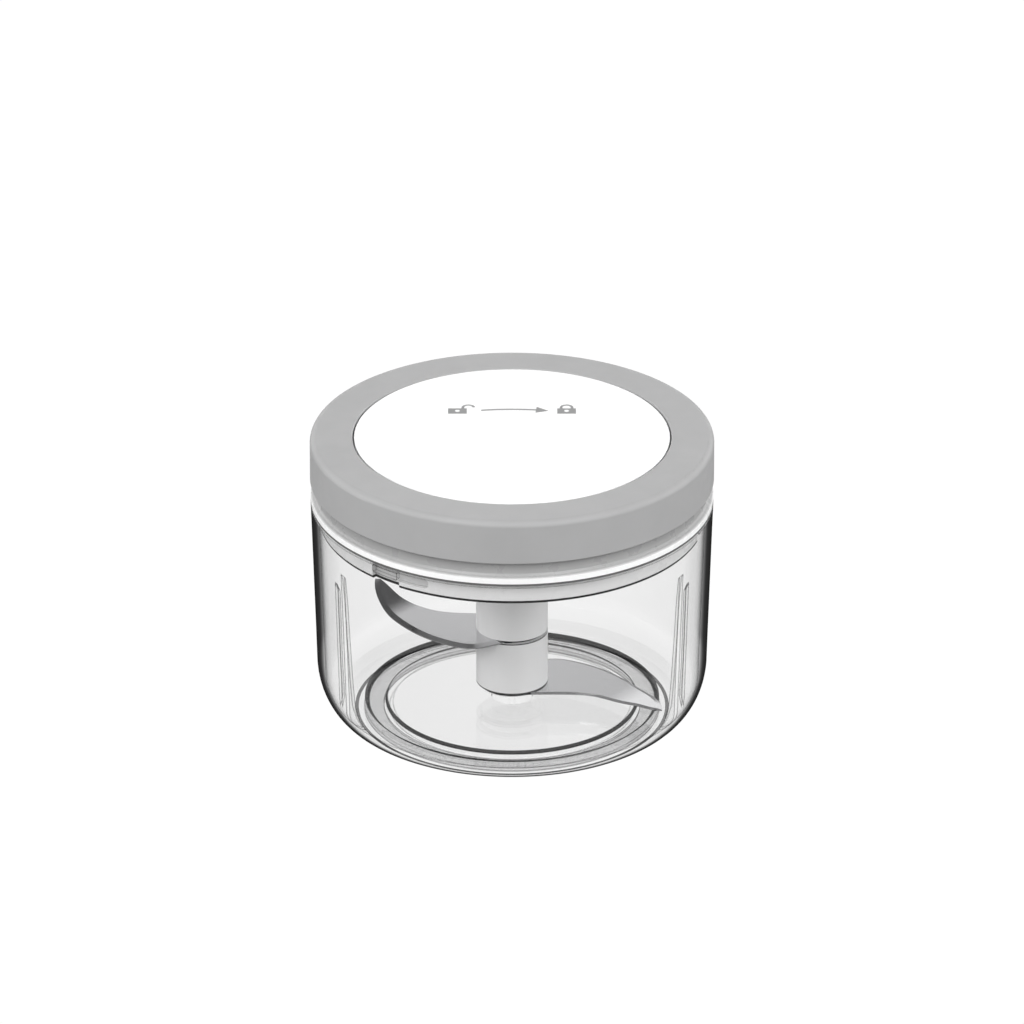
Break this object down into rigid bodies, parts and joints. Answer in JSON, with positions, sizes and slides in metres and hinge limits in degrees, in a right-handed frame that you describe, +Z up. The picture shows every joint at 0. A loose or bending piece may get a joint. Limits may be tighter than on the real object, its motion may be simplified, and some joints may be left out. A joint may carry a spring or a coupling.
{
  "type": "hand-pulled food processor",
  "caption": "Squat clear bowl with curved steel chopping blades on a centre hub and a round twist-on lid that holds a pull cord, spool and clutch.",
  "frame": {"origin": "middle of the base, on the plane that the object stands on", "axes": "+Z up along the hub's axis; -Y is the front; the pull handle is at the back, +Y"},
  "size_m": [0.124, 0.124, 0.0925],
  "materials": {
    "clear_plastic": "clear, polished",
    "white_plastic": "satin white",
    "grey_plastic": "satin grey",
    "hub_plastic": "satin light grey",
    "steel": "ground stainless",
    "brass": "machined",
    "silicone": "matt translucent grey",
    "seal_rubber": "matt black",
    "mark_ink": "printed grey",
    "cord": "braided white"
  },
  "bodies": {
    "bowl": {"bowl": "clear_plastic", "foot_grip": "silicone", "pivot_pin": "steel"},
    "washer": {"thrust_washer": "grey_plastic"},
    "blade": {"hub_upper": "hub_plastic", "hub_lower": "hub_plastic", "upper_blade": "steel", "lower_blade": "steel", "hub_bush": "brass", "hub_cap": "hub_plastic"},
    "seal": {"lid_seal": "seal_rubber"},
    "lid": {"lid_base": "white_plastic", "lid_ring": "grey_plastic", "top_cover": "white_plastic", "lid_mark": "mark_ink", "lid_screws": "steel", "drive_bush": "brass", "return_spring": "steel", "spindle": "steel", "drive_cover": "white_plastic", "cover_screws": "steel", "cord_run": "cord", "cord_eyelet": "steel"},
    "drive": {"drive_coupler": "hub_plastic", "retaining_clip": "steel", "clutch_spring": "steel"},
    "clutch": {"clutch_dog": "hub_plastic"},
    "spool": {"spool": "white_plastic", "cord_winding": "cord"},
    "handle": {"pull_handle": "grey_plastic", "cord_tail": "cord", "cord_knot": "cord", "knot_cap": "grey_plastic"}
  },
  "joints": [
    {"name": "lid_lift", "type": "slide", "parent": "bowl", "child": "seal", "axis": [0, 0, 1], "range_m": [0, 0.14]},
    {"name": "lid_twist", "type": "hinge", "parent": "seal", "child": "lid", "pos_m": [0, 0, 0.0716], "axis": [0, 0, -1], "range_deg": [0, 10]},
    {"name": "handle_pull", "type": "slide", "parent": "lid", "child": "handle", "axis": [0, 1, 0], "range_m": [0, 0.3], "stiffness_N_per_m": 10, "springref_m": -0.2, "deforming": ["cord_tail"]},
    {"name": "spool_spin", "type": "hinge", "parent": "lid", "child": "spool", "pos_m": [0, 0, 0.084], "axis": [0, 0, 1], "range_deg": [0, 1035], "deforming": ["return_spring"]},
    {"name": "drive_spin", "type": "hinge", "parent": "lid", "child": "drive", "pos_m": [0, 0, 0.074], "axis": [0, 0, 1], "continuous": true},
    {"name": "clutch_slip", "type": "slide", "parent": "drive", "child": "clutch", "axis": [0, 0, -1], "range_m": [0, 0.0015], "stiffness_N_per_m": 300, "springref_m": -0.001, "deforming": ["clutch_spring"]},
    {"name": "blade_lift", "type": "slide", "parent": "bowl", "child": "washer", "axis": [0, 0, 1], "range_m": [0, 0.07]},
    {"name": "blade_spin", "type": "hinge", "parent": "washer", "child": "blade", "pos_m": [0, 0, 0.01], "axis": [0, 0, 1], "continuous": true}
  ],
  "couplings": [
    {"joint": "spool_spin", "follows": "handle_pull", "rad_per_m": 60},
    {"joint": "drive_spin", "follows": "handle_pull", "rad_per_m": 60},
    {"joint": "blade_spin", "follows": "handle_pull", "rad_per_m": 60},
    {"joint": "blade_lift", "follows": "lid_lift", "ratio": 0.5}
  ]
}
